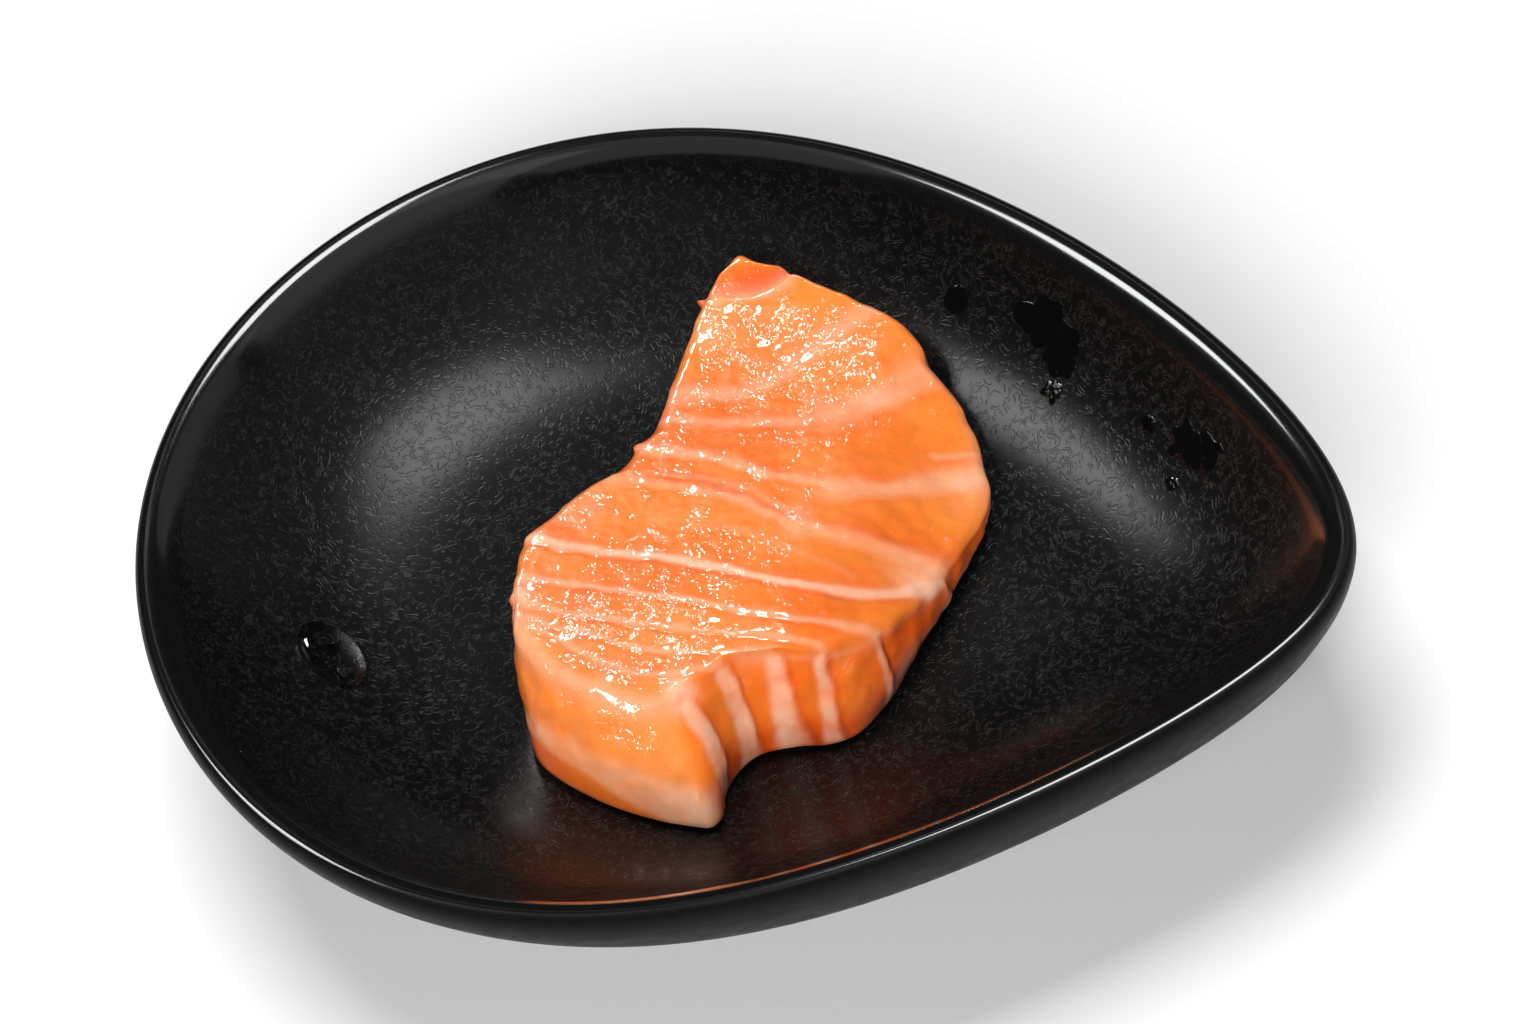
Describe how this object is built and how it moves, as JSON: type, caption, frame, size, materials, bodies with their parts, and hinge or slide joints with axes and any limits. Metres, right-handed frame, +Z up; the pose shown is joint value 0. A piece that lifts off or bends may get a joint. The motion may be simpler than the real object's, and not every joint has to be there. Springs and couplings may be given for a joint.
{
  "type": "sashimi plate",
  "caption": "Thick slice of raw salmon with pale fat lines, served on a small black egg-shaped dish with a low rim and a drop of water.",
  "frame": {"origin": "middle of the dish's outline in plan, on the surface that the foot ring stands on", "axes": "+X along the dish towards its narrow end, +Y across it towards the thin end of the slice, +Z up"},
  "size_m": [0.1524, 0.1272, 0.027],
  "materials": {
    "black_glaze": "satin, with a fine curled texture inside and a glossier rim",
    "salmon_flesh": null,
    "water": null
  },
  "bodies": {
    "root": {"dish": "black_glaze", "salmon_slice": "salmon_flesh", "water_drop": "water"}
  },
  "joints": []
}
